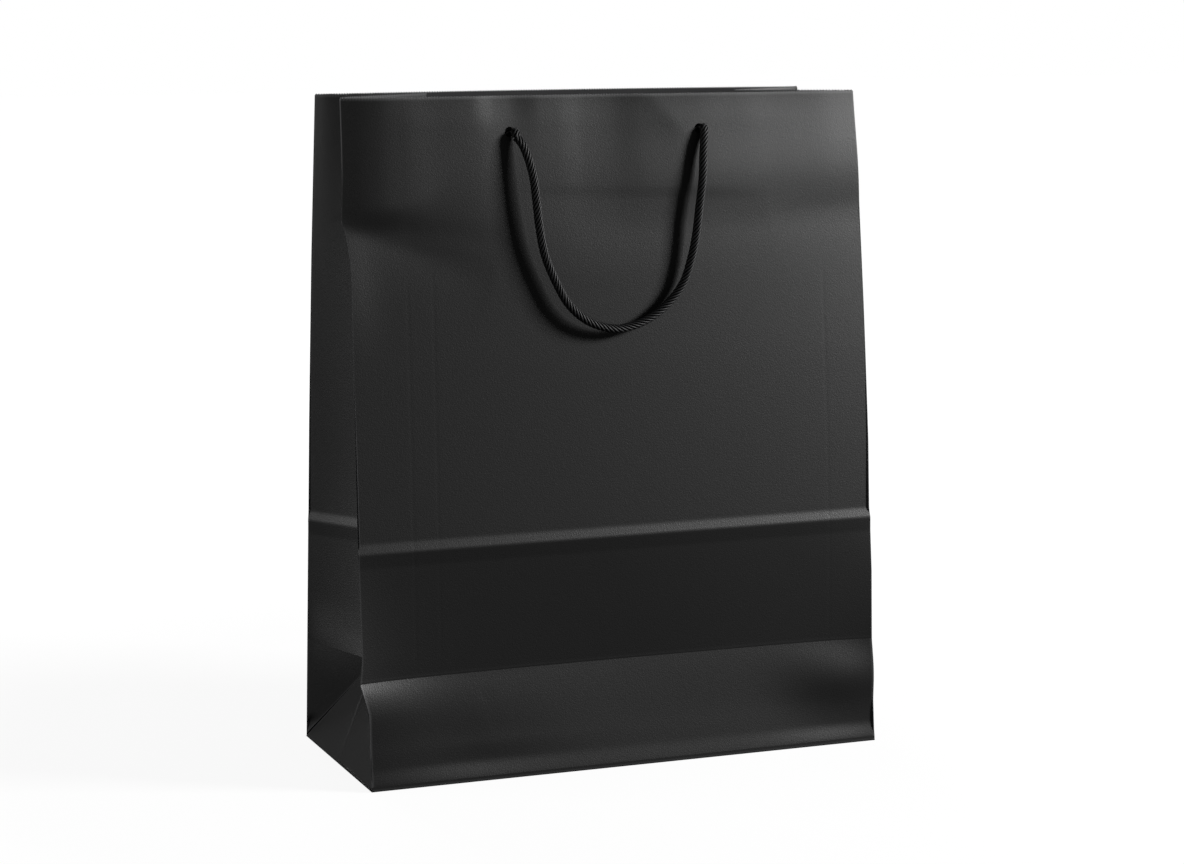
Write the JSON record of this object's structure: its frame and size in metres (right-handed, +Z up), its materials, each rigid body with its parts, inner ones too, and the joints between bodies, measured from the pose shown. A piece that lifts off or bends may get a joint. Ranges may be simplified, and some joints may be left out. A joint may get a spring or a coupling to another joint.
{
  "type": "gift bag",
  "caption": "Wide black paper carrier gift bag with folded-in side gussets, block bottom, pinked top edge and twisted rope handles; it folds flat.",
  "frame": {"origin": "centre of the flat bottom, on the surface that the bag stands on", "axes": "+Z up, X along the bag's width, the front panel with the seam flap inside its right edge faces -Y"},
  "size_m": [0.32, 0.13, 0.395],
  "materials": {
    "black_paper": "satin black coated paper, uncoated pinked edge",
    "grey_card": "plain grey-brown card",
    "black_rope": "twisted black cord with a soft sheen"
  },
  "bodies": {
    "bottom": {"bottom_front_flap": "black_paper", "bottom_back_flap": "black_paper", "left_end_flap": "black_paper", "right_end_flap": "black_paper", "bottom_board": "grey_card"},
    "front_lower": {"front_lower_panel": "black_paper", "seam_flap_lower": "black_paper", "left_corner_front": "black_paper", "right_corner_front": "black_paper"},
    "front_upper": {"front_panel": "black_paper", "seam_flap": "black_paper", "front_mouth_card": "grey_card", "left_gusset_front": "black_paper", "right_gusset_front": "black_paper", "front_knots": "black_rope"},
    "back": {"back_panel": "black_paper", "back_mouth_card": "grey_card", "left_gusset_back": "black_paper", "right_gusset_back": "black_paper", "left_corner_back": "black_paper", "right_corner_back": "black_paper", "back_knots": "black_rope"},
    "left_side": {"left_side_triangle": "black_paper"},
    "right_side": {"right_side_triangle": "black_paper"},
    "front_handle": {"front_rope": "black_rope"},
    "back_handle": {"back_rope": "black_rope"}
  },
  "joints": [
    {"name": "fold_flat", "type": "hinge", "parent": "bottom", "child": "back", "pos_m": [0, 0.06433, 0.00317], "axis": [1, 0, 0], "range_deg": [0, 79.22], "deforming": ["left_gusset_back", "right_gusset_back", "left_corner_back", "right_corner_back"]},
    {"name": "front_bottom_fold", "type": "hinge", "parent": "bottom", "child": "front_lower", "pos_m": [0, -0.06433, 0.00317], "axis": [-1, 0, 0], "range_deg": [0, 84.89], "deforming": ["left_corner_front", "right_corner_front"]},
    {"name": "front_crease_fold", "type": "hinge", "parent": "front_lower", "child": "front_upper", "pos_m": [0, -0.05989, 0.06301], "axis": [1, 0, 0], "range_deg": [0, 178.36], "deforming": ["left_gusset_front", "right_gusset_front"]},
    {"name": "left_side_fold", "type": "hinge", "parent": "bottom", "child": "left_side", "pos_m": [-0.1596, 0, 0.00215], "axis": [0, 1, 0], "range_deg": [0, 66.22]},
    {"name": "right_side_fold", "type": "hinge", "parent": "bottom", "child": "right_side", "pos_m": [0.1596, 0, 0.00215], "axis": [0, -1, 0], "range_deg": [0, 66.22]},
    {"name": "front_handle_swing", "type": "hinge", "parent": "front_upper", "child": "front_handle", "pos_m": [0, -0.03704, 0.37435], "axis": [-1, 0, 0], "range_deg": [0, 165]},
    {"name": "back_handle_swing", "type": "hinge", "parent": "back", "child": "back_handle", "pos_m": [0, 0.03704, 0.37435], "axis": [1, 0, 0], "range_deg": [0, 165]}
  ],
  "couplings": [
    {"joint": "front_bottom_fold", "follows": "fold_flat", "ratio": 1.0694},
    {"joint": "front_crease_fold", "follows": "fold_flat", "ratio": 2.2468},
    {"joint": "left_side_fold", "follows": "fold_flat", "ratio": 0.8342},
    {"joint": "right_side_fold", "follows": "fold_flat", "ratio": 0.8342}
  ]
}
